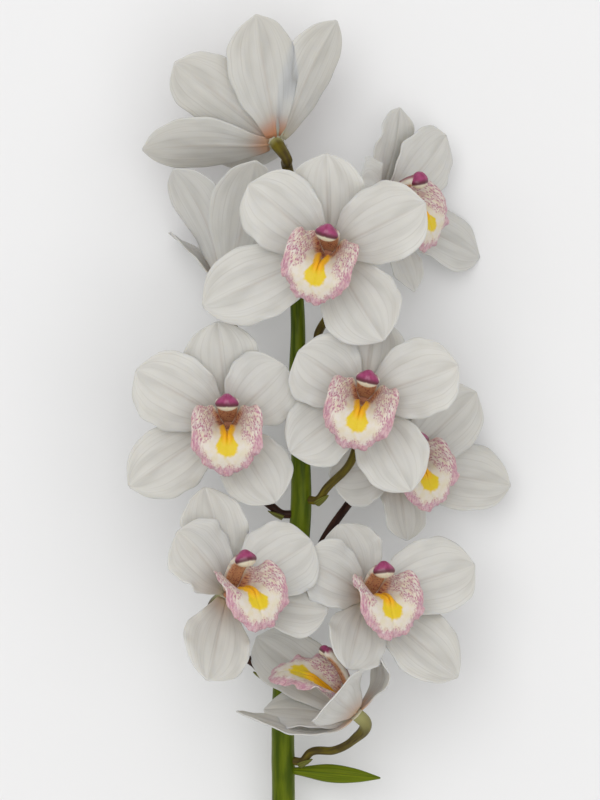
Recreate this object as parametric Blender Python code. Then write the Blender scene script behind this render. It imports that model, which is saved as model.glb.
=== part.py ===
"""A cut stem of a white cymbidium orchid, lying on its back on a flat surface.

Lengths are in millimetres. X runs to the right, Y along the stem toward its top, and Z up from the surface.
Each flower has a frame of its own: right, dorsal (toward its upper sepal) and facing (out of the flower).
"""

import math

import bpy
import mathutils
import numpy as np

# Where the middle of the lowest face of the whole stem's box lies in the frame the dimensions below are given in
ORIGIN = np.array([11.355, -89.785, 0.08])

# Sheet thickness of sepals, petals and bracts, and of the lip
SHEET = 0.9
LIP_SHEET = 1.0

# The clear gap between pieces that touch in the real flower
GAP = 0.3

# Discs that carry the sepals and the petals: bottom and top along the facing direction, and radius
SEPAL_DISC = (0.3, 1.5, 4.6)
PETAL_DISC = (1.8, 3.0, 3.4)

# Blade shapes. Stations give a value at a place from base (0) to tip (1): half width in mm, rise of the midrib
# out of the flower's plane in degrees, and cup, the angle by which a half is curled at its edge.
SEPAL = dict(
    length=50,
    width=[(0, 4.2), (0.15, 8.2), (0.35, 14.2), (0.6, 16.8), (0.8, 14.0), (0.93, 7.6), (1, 0.8)],
    rise=[(0, 8), (0.15, 8), (0.35, 10), (1, 0)],
    cup=[(0, 0), (0.15, 12), (0.3, 17), (0.7, 14), (1, 10)],
    lift=0.9,
    hub=3.4,
)
PETAL = dict(
    length=49,
    width=[(0, 3.6), (0.15, 8.8), (0.35, 15.6), (0.6, 18.4), (0.8, 16.4), (0.93, 9.8), (1, 0.8)],
    rise=[(0, 24), (0.15, 24), (0.35, 18), (1, 2)],
    cup=[(0, 0), (0.15, 14), (0.3, 18), (0.7, 8), (1, 6)],
    lift=2.4,
    hub=2.2,
)
LIP = dict(
    turn=180,
    length=42,
    width=[(0, 3.0), (0.1, 10.5), (0.25, 17.0), (0.4, 21.0), (0.52, 18.5), (0.64, 17.5), (0.8, 13.0),
           (0.92, 8.5), (0.98, 5.0), (1, 0.8)],
    rise=[(0, 80), (0.3, 80), (0.45, 62), (0.62, 18), (0.8, -18), (1, -45)],
    cup=[(0, 90), (0.1, 160), (0.25, 150), (0.4, 120), (0.52, 80), (0.66, 30), (0.85, -10), (1, -20)],
    flare=[(0, 0), (0.1, 75), (0.25, 90), (0.4, 95), (0.52, 80), (0.66, 50), (0.85, 15), (1, 0)],
    lift=3.9,
    hub=2.6,
    ruffle=(0.9, 6, 0.1),
)
BLADES = dict(dorsal=0, sepal_left=-128, sepal_right=128, petal_left=-68, petal_right=68)
SEPAL_NAMES = ("dorsal", "sepal_left", "sepal_right")
PETAL_NAMES = ("petal_left", "petal_right")

# The column: length, start (dorsal, facing), lean of its middle line, and half widths across and through it
COLUMN_LENGTH = 27
COLUMN_START = (1.3, 3.9)
COLUMN_LEAN = [(0, 52), (0.5, 68), (1, 100)]
COLUMN_ACROSS = [(0, 2.0), (0.3, 3.0), (0.6, 5.0), (0.85, 5.7), (0.94, 4.8), (1, 1.8)]
COLUMN_THROUGH = [(0, 1.8), (0.5, 2.6), (0.8, 3.0), (0.92, 3.0), (1, 1.2)]

# The stem: stations along its middle line (x, y, z) with its radius there
STEM = [
    (-8.5, -372.4, 6.3, 6.1),
    (-8.5, -288.5, 14.0, 6.0),
    (-8.5, -205.1, 24.0, 5.9),
    (-8.2, -147.8, 36.0, 5.7),
    (-3.0, -95.0, 45.0, 5.5),
    (0.5, -53.2, 50.0, 5.3),
    (0.0, -20.0, 53.5, 4.6),
    (-1.5, 10.1, 55.0, 4.2),
    (-1.0, 35.3, 56.0, 3.7),
    (-4.0, 85.8, 55.0, 3.3),
    (-5.1, 112.2, 54.0, 3.0),
]

# The large bract: base, tip, half width and rise
BRACT = dict(base=(-8.4, -189.5, 27.6), tip=(41.0, -192.5, 38.0), half_width=5.2)

# Flower stalks end in a straight, thicker ovary behind the sepals. Radius at a distance back from the flower's centre.
OVARY_LENGTH = 16
STALK_RADIUS = [(0, 3.3), (3, 3.4), (16, 2.6), (24, 2.1)]

# The ten flowers from the top of the stem down. For each: centre, face (yaw, pitch, roll in degrees), open (how far
# its blades lean forward), the stalk's route from the stem, and its blades. A blade has either the place of its tip,
# (x, y) seen from above, or a turn (clockwise from the dorsal direction) and a length. A flower may have its own column
# length, and its own length of straight ovary. The top flower's stalk goes on from the end of the stem.
FLOWERS = [
    dict(
        at=(-12.1, 130.1, 50.0), face=(-154, 36, 120), open=20, crowns_stem=True,
        stalk=[(-5.2, 113.6, 53.9), (-6.8, 119.0, 53.6)],
        dorsal=dict(tip=(-80, 127)),
        sepal_left=dict(tip=(-22, 193), wide=1.15, cup=[(0, 0), (0.15, 0), (0.3, 12), (0.7, 14), (1, 10)]),
        sepal_right=dict(turn=215, length=66),
        petal_left=dict(tip=(-63, 170)),
        petal_right=dict(turn=62, length=44, open=34),
    ),
    dict(
        at=(-35.5, 58.9, 47.3), face=(168, 68, -19), open=46,
        stalk=[(-1.6, 6.0, 54.9), (-15.0, 11.0, 52.0), (-26.0, 26.0, 47.0)],
        dorsal=dict(tip=(-22, 120), wide=1.1),
        sepal_left=dict(turn=-140, length=54),
        sepal_right=dict(turn=140, length=54),
        petal_left=dict(turn=-80, length=44, open=48, lift=2.6),
        petal_right=dict(tip=(-64, 117), open=48, lift=2.6),
        lip=dict(wide=0.62, rise=[(0, 80), (0.3, 84), (0.5, 66), (0.65, 40), (0.82, 10), (1, -10)]),
    ),
    dict(
        at=(14.3, 73.4, 104.0), face=(-8, -3, 16), open=0,
        stalk=[(0.0, 26.0, 56.0), (9.0, 33.0, 59.0), (15.0, 44.0, 68.0), (16.0, 62.0, 82.0)],
        dorsal=dict(tip=(13, 121), wide=1.18),
        sepal_left=dict(tip=(-48, 46), wide=1.2),
        sepal_right=dict(tip=(41, 29), wide=1.25),
        petal_left=dict(tip=(-25, 106), wide=1.1),
        petal_right=dict(tip=(61, 96), wide=1.1),
    ),
    dict(
        at=(40.3, 97.6, 39.7), face=(55, 8, -12), open=10,
        stalk=[(-2.5, 62.0, 55.6), (6.0, 65.0, 51.0), (20.0, 82.0, 36.0)],
        dorsal=dict(tip=(51, 149), wide=1.04),
        sepal_left=dict(tip=(58, 55), wide=0.85),
        sepal_right=dict(tip=(93, 74)),
        petal_left=dict(turn=-68, length=46),
        petal_right=dict(tip=(75, 136)),
    ),
    dict(
        at=(-35.9, -11.0, 82.0), face=(0, 0, 0), open=0,
        stalk=[(0.5, -58.0, 49.6), (-14.0, -54.0, 51.0), (-27.0, -42.0, 55.0), (-35.0, -22.0, 64.0)],
        dorsal=dict(tip=(-41, 39), wide=1.2),
        sepal_left=dict(tip=(-85, -43), wide=1.1),
        sepal_right=dict(tip=(-12, -51), wide=1.1),
        petal_left=dict(tip=(-81, 15), wide=1.1),
        petal_right=dict(tip=(-7, 17), wide=1.1),
    ),
    dict(
        at=(31.7, 1.0, 92.0), face=(-2, 0, 14), open=0,
        stalk=[(0.4, -50.0, 50.3), (13.0, -45.0, 58.0), (25.0, -32.0, 69.0)],
        dorsal=dict(tip=(36, 41), wide=1.1),
        sepal_left=dict(tip=(-5, -26), wide=1.1),
        sepal_right=dict(tip=(55, -45), wide=1.1),
        petal_left=dict(tip=(-1, 24), wide=1.1),
        petal_right=dict(tip=(78, 17), wide=1.1),
    ),
    dict(
        at=(48.5, -33.3, 38.0), face=(30, 8, -12), open=8,
        stalk=[(-3.2, -97.0, 44.7), (9.0, -78.0, 42.0), (24.0, -54.0, 34.0)],
        dorsal=dict(turn=0, length=50),
        sepal_left=dict(tip=(54, -70), wide=0.8, open=0),
        sepal_right=dict(tip=(108, -44), wide=1.1),
        petal_left=dict(turn=-85, length=38, open=-24),
        petal_right=dict(tip=(90, 4)),
    ),
    dict(
        at=(-35.9, -95.7, 106.0), face=(28, 20, -8), open=0,
        stalk=[(-7.9, -140.0, 37.4), (-23.0, -134.0, 45.0), (-39.0, -124.0, 60.0)],
        dorsal=dict(tip=(-47, -43), wide=1.1),
        sepal_left=dict(tip=(-45, -136), wide=1.1),
        sepal_right=dict(tip=(14, -104), wide=1.1),
        petal_left=dict(tip=(-60, -64), wide=1.1),
        petal_right=dict(tip=(6, -70), wide=1.1),
    ),
    dict(
        at=(33.1, -99.2, 70.0), face=(24, 15, -2), open=0, column=24,
        stalk=[(-8.3, -157.0, 34.4), (4.0, -150.0, 33.0), (16.0, -132.0, 38.0)],
        dorsal=dict(tip=(20, -64), wide=1.1),
        sepal_left=dict(turn=-150, length=42, open=13),
        sepal_right=dict(tip=(79, -139), wide=1.1),
        petal_left=dict(turn=-63, length=40),
        petal_right=dict(tip=(88, -83), wide=1.1),
    ),
    dict(
        at=(28.5, -157.5, 72.5), face=(-69, 41, 10), open=35, column=36, straight=5,
        stalk=[(-8.5, -184.0, 27.8), (5.0, -180.0, 34.0), (17.0, -178.0, 43.0), (27.0, -171.5, 56.0)],
        dorsal=dict(turn=0, length=44, wide=0.92, rise=[(0, 0), (0.3, 5), (0.5, 45), (0.75, 75), (1, 90)]),
        sepal_left=dict(turn=-140, length=46, open=45),
        sepal_right=dict(turn=185, length=62, wide=0.75, rise=[(0, 8), (0.15, 25), (0.4, 55), (1, 70)]),
        petal_left=dict(turn=-85, tip=(-24, -119), open=45, wide=0.9),
        petal_right=dict(turn=92, length=43, open=30),
        lip=dict(
            turn=208, length=50, wide=0.85, lift=4.3,
            rise=[(0, 84), (0.3, 92), (0.5, 88), (0.65, 66), (0.82, 30), (1, 4)],
            width=[(0, 2.2), (0.1, 4.4), (0.25, 14.5), (0.4, 21.0), (0.64, 17.5), (0.8, 13.0), (0.92, 8.5), (1, 0.8)],
            cup=[(0, 20), (0.1, 70), (0.25, 125), (0.4, 118), (0.66, 30), (0.85, -10), (1, -20)],
        ),
    ),
]

MM = 0.001
STEPS = 80


def smooth_curve(stations, at):
    """A smooth curve through (place, value) stations, read at the places in at."""
    x = np.array([s[0] for s in stations], float)
    y = np.array([s[1] for s in stations], float)
    at = np.clip(np.asarray(at, float), x[0], x[-1])
    slope = np.gradient(y, x) if len(x) > 2 else np.full(len(x), (y[-1] - y[0]) / (x[-1] - x[0]))
    i = np.clip(np.searchsorted(x, at, side="right") - 1, 0, len(x) - 2)
    h = x[i + 1] - x[i]
    t = (at - x[i]) / h
    return (
        (2 * t**3 - 3 * t**2 + 1) * y[i]
        + (t**3 - 2 * t**2 + t) * h * slope[i]
        + (3 * t**2 - 2 * t**3) * y[i + 1]
        + (t**3 - t**2) * h * slope[i + 1]
    )


def unit(vectors):
    vectors = np.asarray(vectors, float)
    return vectors / np.linalg.norm(vectors, axis=-1, keepdims=True)


def flower_axes(yaw, pitch, roll):
    """Right, dorsal and facing directions of a flower, as columns."""
    yaw, pitch, roll = (math.radians(angle) for angle in (yaw, pitch, roll))
    facing = np.array([math.sin(yaw) * math.cos(pitch), math.sin(pitch), math.cos(yaw) * math.cos(pitch)])
    up = np.array([0.0, 1.0, 0.0])
    upright = unit(up - facing * (up @ facing))
    sideways = np.cross(upright, facing)
    dorsal = math.cos(roll) * upright + math.sin(roll) * sideways
    right = math.cos(roll) * sideways - math.sin(roll) * upright
    return np.array([right, dorsal, facing]).T


def midrib(shape):
    """Points of a blade's midrib at even steps, with the directions across it and out of its face."""
    place = np.linspace(0, 1, STEPS + 1)
    rise = np.radians(smooth_curve(shape["rise"], place))
    turn = math.radians(shape["turn"])
    outward = np.array([math.sin(turn), math.cos(turn), 0.0])
    across = np.array([math.cos(turn), -math.sin(turn), 0.0])
    facing = np.array([0.0, 0.0, 1.0])
    along = np.cos(rise)[:, None] * outward + np.sin(rise)[:, None] * facing
    steps = (along[1:] + along[:-1]) / 2 * shape["length"] / STEPS
    line = np.vstack([np.zeros(3), np.cumsum(steps, 0)]) + shape["hub"] * outward + shape["lift"] * facing
    return place, line, across, np.cross(across, along)


def section(u, v, shape):
    """Sideways and face-ward offsets of the places (u, v) of a blade from its midrib."""
    cuts = 16
    reach = np.abs(v)
    half = smooth_curve(shape["width"], u) * shape.get("wide", 1.0)
    cup = smooth_curve(shape["cup"], u)
    flare = smooth_curve(shape.get("flare", [(0, 0), (1, 0)]), u)
    sideways, up = np.zeros_like(half), np.zeros_like(half)
    for cut in range(cuts):
        part = (cut + 0.5) / cuts * reach
        angle = np.radians(cup * part - flare * np.clip(part - 0.45, 0, 1) / 0.55)
        sideways = sideways + np.cos(angle) * half * reach / cuts
        up = up + np.sin(angle) * half * reach / cuts
    if "ruffle" in shape:
        height, waves, phase = shape["ruffle"]
        rim = reach**4 * np.sqrt(np.sin(math.pi * np.clip(u * 1.15, 0, 1)))
        up = up + height * rim * np.sin(2 * math.pi * (waves * u + phase))
    return sideways * np.sign(v), up


def blade_points(u, v, shape):
    """Points of a blade in its flower's frame. u runs from base to tip and v across it, from -1 to 1."""
    place, line, across, front = midrib(shape)
    sideways, up = section(u, v, shape)

    def at(table):
        return np.stack([np.interp(u, place, table[:, axis]) for axis in range(3)], -1)

    return at(line) + sideways[..., None] * across + up[..., None] * at(front)


def aim(shape, tip, frame, centre):
    """The shape with the turn and length that bring its tip over the point tip, seen from above."""
    shape = dict(shape)

    def miss(turn, length):
        end = blade_points(np.array([1.0]), np.array([0.0]), dict(shape, turn=turn, length=length))[0]
        return (frame @ end + centre)[:2] - np.array(tip)

    turn, length = float(shape["turn"]), float(shape["length"])
    for _ in range(30):
        off = miss(turn, length)
        slope = np.array([miss(turn + 0.5, length) - off, miss(turn, length + 0.5) - off]).T / 0.5
        step = np.linalg.lstsq(slope, -off, rcond=None)[0]
        turn += float(np.clip(step[0], -12, 12))
        length = float(np.clip(length + np.clip(step[1], -5, 5), 36, 68))
    shape.update(turn=turn, length=length)
    return shape


def lean_share(place):
    """How much of a flower's lean a blade has at a place: none at its base, all near it, less toward its tip."""
    return min(place / 0.15, 1) * (1 - 0.4 * place)


def blade_shape(flower, name, frame):
    """The full shape of one blade of a flower."""
    base = LIP if name == "lip" else SEPAL if name in SEPAL_NAMES else PETAL
    own = dict(flower.get(name, {}))
    tip = own.pop("tip", None)
    lean = own.pop("open", flower["open"])
    shape = dict(base, turn=BLADES.get(name, 180))
    if name != "lip":
        shape["rise"] = [(place, rise + lean * lean_share(place)) for place, rise in base["rise"]]
    shape.update(own)
    return aim(shape, tip, frame, np.array(flower["at"])) if tip else shape


def clear_scene():
    for item in list(bpy.data.objects):
        bpy.data.objects.remove(item)


def material(name, colour, roughness=0.55):
    made = bpy.data.materials.new(name)
    made.use_nodes = True
    shader = made.node_tree.nodes["Principled BSDF"]
    shader.inputs["Base Color"].default_value = (*colour, 1)
    shader.inputs["Roughness"].default_value = roughness
    made.diffuse_color = (*colour, 1)
    return made


def add_object(name, data, parent=None, look=None):
    """A new object in the scene, under its parent."""
    made = bpy.data.objects.new(name, data)
    bpy.context.collection.objects.link(made)
    made.parent = parent
    if look:
        data.materials.append(look)
    return made


def mesh_object(name, points, faces, parent, look, smooth=True):
    """A mesh object from points in millimetres."""
    mesh = bpy.data.meshes.new(name)
    mesh.from_pydata((np.asarray(points) * MM).tolist(), [], faces)
    if smooth:
        mesh.shade_smooth()
    mesh.validate()
    return add_object(name, mesh, parent, look)


def blade_object(name, shape, cells, thickness, parent, look):
    """A blade as a grid of faces, thickened equally to both sides."""
    along, over = cells
    u, v = np.meshgrid(np.linspace(0, 1, along + 1), np.linspace(-1, 1, over + 1), indexing="ij")
    points = blade_points(u, v, shape).reshape(-1, 3)
    row = over + 1
    faces = [
        (i * row + j, i * row + j + 1, (i + 1) * row + j + 1, (i + 1) * row + j)
        for i in range(along)
        for j in range(over)
    ]
    blade = mesh_object(name, points, faces, parent, look)
    sheet = blade.modifiers.new("Sheet", "SOLIDIFY")
    sheet.thickness = thickness * MM
    sheet.offset = 0
    return blade


def disc_object(name, disc, parent, look):
    """The flat disc that carries a flower's sepals or petals."""
    sides = 12
    bottom, top, radius = disc
    turns = [2 * math.pi * k / sides for k in range(sides)]
    points = [(radius * math.cos(a), radius * math.sin(a), height) for height in (bottom, top) for a in turns]
    faces = [(k, (k + 1) % sides, sides + (k + 1) % sides, sides + k) for k in range(sides)]
    faces += [tuple(range(sides))[::-1], tuple(range(sides, 2 * sides))]
    return mesh_object(name, points, faces, parent, look, smooth=False)


def join_to(body, piece):
    """Unites a piece with the body and hides the piece itself."""
    union = body.modifiers.new("Join", "BOOLEAN")
    union.operation = "UNION"
    union.object = piece
    piece.hide_render = True
    piece.display_type = "WIRE"


def ring_tube(name, rings, parent, look):
    """A closed tube through rings of points, with flat ends."""
    count = len(rings[0])
    points = np.concatenate(rings)
    faces = [
        (r * count + k, r * count + (k + 1) % count, (r + 1) * count + (k + 1) % count, (r + 1) * count + k)
        for r in range(len(rings) - 1)
        for k in range(count)
    ]
    last = (len(rings) - 1) * count
    faces += [tuple(range(count))[::-1], tuple(range(last, last + count))]
    return mesh_object(name, points, faces, parent, look)


def column_line(place, length):
    """Points of the column's middle line and its lean, in the flower's frame."""
    fine = np.linspace(0, 1, STEPS + 1)
    lean = np.radians(smooth_curve(COLUMN_LEAN, fine))
    steps = np.stack([np.zeros_like(fine), np.cos(lean), np.sin(lean)], -1) * length / STEPS
    line = np.vstack([np.zeros(3), np.cumsum((steps[1:] + steps[:-1]) / 2, 0)])
    line = line + np.array([0, *COLUMN_START])
    return np.stack([np.interp(place, fine, line[:, axis]) for axis in range(3)], -1), np.interp(place, fine, lean)


def column_rings(sides, length):
    """Rings of points round the column from its foot to its cap, in the flower's frame."""
    place = np.array([0, 0.25, 0.5, 0.72, 0.86, 0.95, 1.0])
    line, lean = column_line(place, length)
    across = smooth_curve(COLUMN_ACROSS, place)
    through = smooth_curve(COLUMN_THROUGH, place)
    turns = np.arange(sides) * 2 * math.pi / sides
    rings = []
    for k in range(len(place)):
        back = np.array([0, math.sin(lean[k]), -math.cos(lean[k])]) if k else np.array([0, 1.0, 0])
        rings.append(
            line[k]
            + np.cos(turns)[:, None] * across[k] * np.array([1.0, 0, 0])
            + np.sin(turns)[:, None] * through[k] * back
        )
    return rings


def route_curve(route, count):
    """Evenly spaced points on the smooth curve through a route."""
    route = np.array(route, float)
    run = np.concatenate([[0], np.cumsum(np.linalg.norm(np.diff(route, axis=0), axis=1))])
    at = np.linspace(0, run[-1], count)
    return np.stack([smooth_curve(list(zip(run, route[:, axis])), at) for axis in range(route.shape[1])], -1)


def tube_object(name, points, radii, resolution, look):
    """A tube along points, with a radius at each, as a curve with filled caps."""
    curve = bpy.data.curves.new(name, "CURVE")
    curve.dimensions = "3D"
    curve.bevel_depth = MM
    curve.bevel_resolution = resolution
    curve.use_fill_caps = True
    line = curve.splines.new("POLY")
    line.points.add(len(points) - 1)
    for point, place, radius in zip(line.points, points, radii):
        point.co = (*(place * MM), 1)
        point.radius = radius
    return add_object(name, curve, None, look)


def stalk_line(flower, frame, count):
    """A flower stalk's points and radii, from the stem's surface to the back of the sepals."""
    centre = np.array(flower["at"])
    facing = frame[:, 2]
    start = np.array(flower["stalk"][0])
    stem = route_curve(STEM, 400)
    near = np.argmin(np.linalg.norm(stem[:, :3] - start, axis=1))
    first = [start]
    if "crowns_stem" not in flower:
        upward = unit(stem[near + 1, :3] - stem[near - 1, :3])
        away = np.array(flower["stalk"][1]) - start
        away = unit(away - upward * (upward @ away))
        side = start + away * (stem[near, 3] + 4 * GAP)
        first = [side, side + 3 * away]
    end = centre - facing * 0.15
    straight = flower.get("straight", OVARY_LENGTH)
    route = [*first, *flower["stalk"][1:], centre - facing * straight, end]
    line = route_curve(route, count)
    back, radius = np.array(STALK_RADIUS).T
    return line, np.interp(np.linalg.norm(line - centre, axis=1), back, radius)


def make_flower(number, flower, looks):
    frame = flower_axes(*flower["face"])
    place = bpy.data.objects.new(f"flower_{number:02d}", None)
    bpy.context.collection.objects.link(place)
    place.matrix_world = matrix_of(frame, np.array(flower["at"]) - ORIGIN)
    tag = f"{number:02d}"
    for group, disc, names, look in (
        ("sepals", SEPAL_DISC, SEPAL_NAMES, looks["sepal"]),
        ("petals", PETAL_DISC, PETAL_NAMES, looks["petal"]),
    ):
        body = disc_object(f"{group}_{tag}", disc, place, look)
        for name in names:
            shape = blade_shape(flower, name, frame)
            join_to(body, blade_object(f"{name}_{tag}", shape, (5, 4), SHEET, place, look))
    lip = blade_shape(flower, "lip", frame)
    blade_object(f"lip_{tag}", lip, (8, 6), LIP_SHEET, place, looks["lip"])
    ring_tube(f"column_{tag}", column_rings(8, flower.get("column", COLUMN_LENGTH)), place, looks["column"])
    line, radii = stalk_line(flower, frame, 10)
    tube_object(f"stalk_{tag}", line - ORIGIN, radii, 2, looks["stalk"])


def matrix_of(frame, centre):
    """A Blender matrix from a frame of directions and a centre in millimetres."""
    matrix = mathutils.Matrix.Identity(4)
    for row in range(3):
        for column in range(3):
            matrix[row][column] = float(frame[row, column])
        matrix[row][3] = float(centre[row] * MM)
    return matrix


def make_stem(look):
    line = route_curve(STEM, 26)
    tube_object("stem", line[:, :3] - ORIGIN, line[:, 3], 4, look)


def make_bract(look):
    """The leaf-like bract below the lowest stalk."""
    base, tip = np.array(BRACT["base"]), np.array(BRACT["tip"])
    across = unit(np.cross([0, 0, 1.0], tip - base))
    frame = np.array([across, unit(tip - base), np.cross(across, unit(tip - base))]).T
    start = base + unit(tip - base) * (STEM[2][3] + GAP)
    place = bpy.data.objects.new("bract_place", None)
    bpy.context.collection.objects.link(place)
    place.matrix_world = matrix_of(frame, start - ORIGIN)
    wide = BRACT["half_width"]
    shape = dict(
        turn=0, length=float(np.linalg.norm(tip - start)), lift=0, hub=0,
        width=[(0, 0.5 * wide), (0.35, wide), (0.7, 0.7 * wide), (1, 0.4)],
        rise=[(0, 8), (0.5, 0), (1, -8)],
        cup=[(0, 90), (0.5, 45), (1, 20)],
    )
    blade_object("bract", shape, (7, 4), SHEET, place, look)


def main():
    clear_scene()
    looks = dict(
        sepal=material("Sepal white", (0.78, 0.77, 0.72)),
        petal=material("Petal white", (0.80, 0.79, 0.75)),
        lip=material("Lip pink", (0.80, 0.52, 0.58)),
        column=material("Column magenta", (0.35, 0.04, 0.14)),
        stalk=material("Stalk olive", (0.12, 0.09, 0.03)),
        stem=material("Stem green", (0.13, 0.22, 0.02)),
    )
    make_stem(looks["stem"])
    make_bract(looks["stem"])
    for number, flower in enumerate(FLOWERS, 1):
        make_flower(number, flower, looks)
    bpy.context.view_layer.update()


main()
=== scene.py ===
"""The cut cymbidium orchid stem with its fine shapes and materials.

Dimensions are in millimetres in the frame of the photograph's middle: X right, Y up the stem, Z up from the
surface. ORIGIN moves them to the frame of the solids. Each flower has its own frame: right, dorsal, facing.
"""

import math

import bpy
import numpy as np
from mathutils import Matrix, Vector

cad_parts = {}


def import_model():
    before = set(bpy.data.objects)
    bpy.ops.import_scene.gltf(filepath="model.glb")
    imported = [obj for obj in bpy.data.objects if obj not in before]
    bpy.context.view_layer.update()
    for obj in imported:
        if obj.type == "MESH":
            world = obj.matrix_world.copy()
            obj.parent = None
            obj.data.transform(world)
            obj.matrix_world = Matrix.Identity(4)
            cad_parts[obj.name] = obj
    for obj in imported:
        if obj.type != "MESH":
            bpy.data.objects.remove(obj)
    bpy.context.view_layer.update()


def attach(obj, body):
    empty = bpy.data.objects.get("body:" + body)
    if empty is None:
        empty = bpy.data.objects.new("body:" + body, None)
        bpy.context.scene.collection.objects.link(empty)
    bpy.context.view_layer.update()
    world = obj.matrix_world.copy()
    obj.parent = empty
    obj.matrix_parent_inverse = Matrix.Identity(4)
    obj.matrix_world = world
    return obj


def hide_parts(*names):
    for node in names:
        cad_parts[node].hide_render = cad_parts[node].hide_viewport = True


# Where the middle of the bottom of the whole stem's box lies, in the frame of the dimensions below
ORIGIN = np.array([11.355, -89.785, 0.08])

# Sheet thickness of sepals, petals and bracts, and of the lip
SHEET = 0.9
LIP_SHEET = 1.0

# The clear gap between pieces that touch in the real flower
GAP = 0.3

# Discs that carry the sepals and the petals: bottom and top along the facing direction, and radius
SEPAL_DISC = (0.3, 1.5, 4.6)
PETAL_DISC = (1.8, 3.0, 3.4)

# Blade shapes. Stations give a value at a place from base (0) to tip (1): half width in mm, rise of the
# midrib out of the flower's plane in degrees, and cup, the angle by which a half is curled at its edge. The
# lip's flare turns its edge back out by an angle, and its ruffle is a height, a number of waves and a phase.
SEPAL = dict(
    length=50,
    width=[(0, 4.2), (0.15, 8.2), (0.35, 14.2), (0.6, 16.8), (0.8, 14.0), (0.93, 7.6), (1, 0.8)],
    rise=[(0, 8), (0.15, 8), (0.35, 10), (1, 0)],
    cup=[(0, 0), (0.15, 12), (0.3, 17), (0.7, 14), (1, 10)],
    lift=0.9,
    hub=3.4,
)
PETAL = dict(
    length=49,
    width=[(0, 3.6), (0.15, 8.8), (0.35, 15.6), (0.6, 18.4), (0.8, 16.4), (0.93, 9.8), (1, 0.8)],
    rise=[(0, 24), (0.15, 24), (0.35, 18), (1, 2)],
    cup=[(0, 0), (0.15, 14), (0.3, 18), (0.7, 8), (1, 6)],
    lift=2.4,
    hub=2.2,
)
LIP = dict(
    turn=180,
    length=42,
    width=[(0, 3.0), (0.1, 10.5), (0.25, 17.0), (0.4, 21.0), (0.52, 18.5), (0.64, 17.5), (0.8, 13.0),
           (0.92, 8.5), (0.98, 5.0), (1, 0.8)],
    rise=[(0, 80), (0.3, 80), (0.45, 62), (0.62, 18), (0.8, -18), (1, -45)],
    cup=[(0, 90), (0.1, 160), (0.25, 150), (0.4, 120), (0.52, 80), (0.66, 30), (0.85, -10), (1, -20)],
    flare=[(0, 0), (0.1, 75), (0.25, 90), (0.4, 95), (0.52, 80), (0.66, 50), (0.85, 15), (1, 0)],
    lift=3.9,
    hub=2.6,
    ruffle=(0.9, 6, 0.1),
)
BLADES = dict(dorsal=0, sepal_left=-128, sepal_right=128, petal_left=-68, petal_right=68)
SEPAL_NAMES = ("dorsal", "sepal_left", "sepal_right")
PETAL_NAMES = ("petal_left", "petal_right")

# The column: length, start (dorsal, facing), lean of its middle line, and half widths across and through it
COLUMN_LENGTH = 27
COLUMN_START = (1.3, 3.9)
COLUMN_LEAN = [(0, 52), (0.5, 68), (1, 100)]
COLUMN_ACROSS = [(0, 2.0), (0.3, 3.0), (0.6, 5.0), (0.85, 5.7), (0.94, 4.8), (1, 1.8)]
COLUMN_THROUGH = [(0, 1.8), (0.5, 2.6), (0.8, 3.0), (0.92, 3.0), (1, 1.2)]

# The least half width across the fine column, which makes its foot wider than the solid's
COLUMN_FOOT = [(0, 3.4), (0.12, 4.9), (0.6, 5.4), (1, 0)]

# The stem: stations along its middle line (x, y, z) with its radius there
STEM = [
    (-8.5, -372.4, 6.3, 6.1),
    (-8.5, -288.5, 14.0, 6.0),
    (-8.5, -205.1, 24.0, 5.9),
    (-8.2, -147.8, 36.0, 5.7),
    (-3.0, -95.0, 45.0, 5.5),
    (0.5, -53.2, 50.0, 5.3),
    (0.0, -20.0, 53.5, 4.6),
    (-1.5, 10.1, 55.0, 4.2),
    (-1.0, 35.3, 56.0, 3.7),
    (-4.0, 85.8, 55.0, 3.3),
    (-5.1, 112.2, 54.0, 3.0),
]

# The large bract: its base, its tip and its half width
BRACT = dict(base=(-8.4, -189.5, 27.6), tip=(41.0, -192.5, 38.0), half_width=5.2)

# Flower stalks end in a straight, thicker ovary behind the sepals. STALK_RADIUS gives the radius at a
# distance back from the flower's centre.
OVARY_LENGTH = 16
STALK_RADIUS = [(0, 3.3), (3, 3.4), (16, 2.6), (24, 2.1)]

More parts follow.
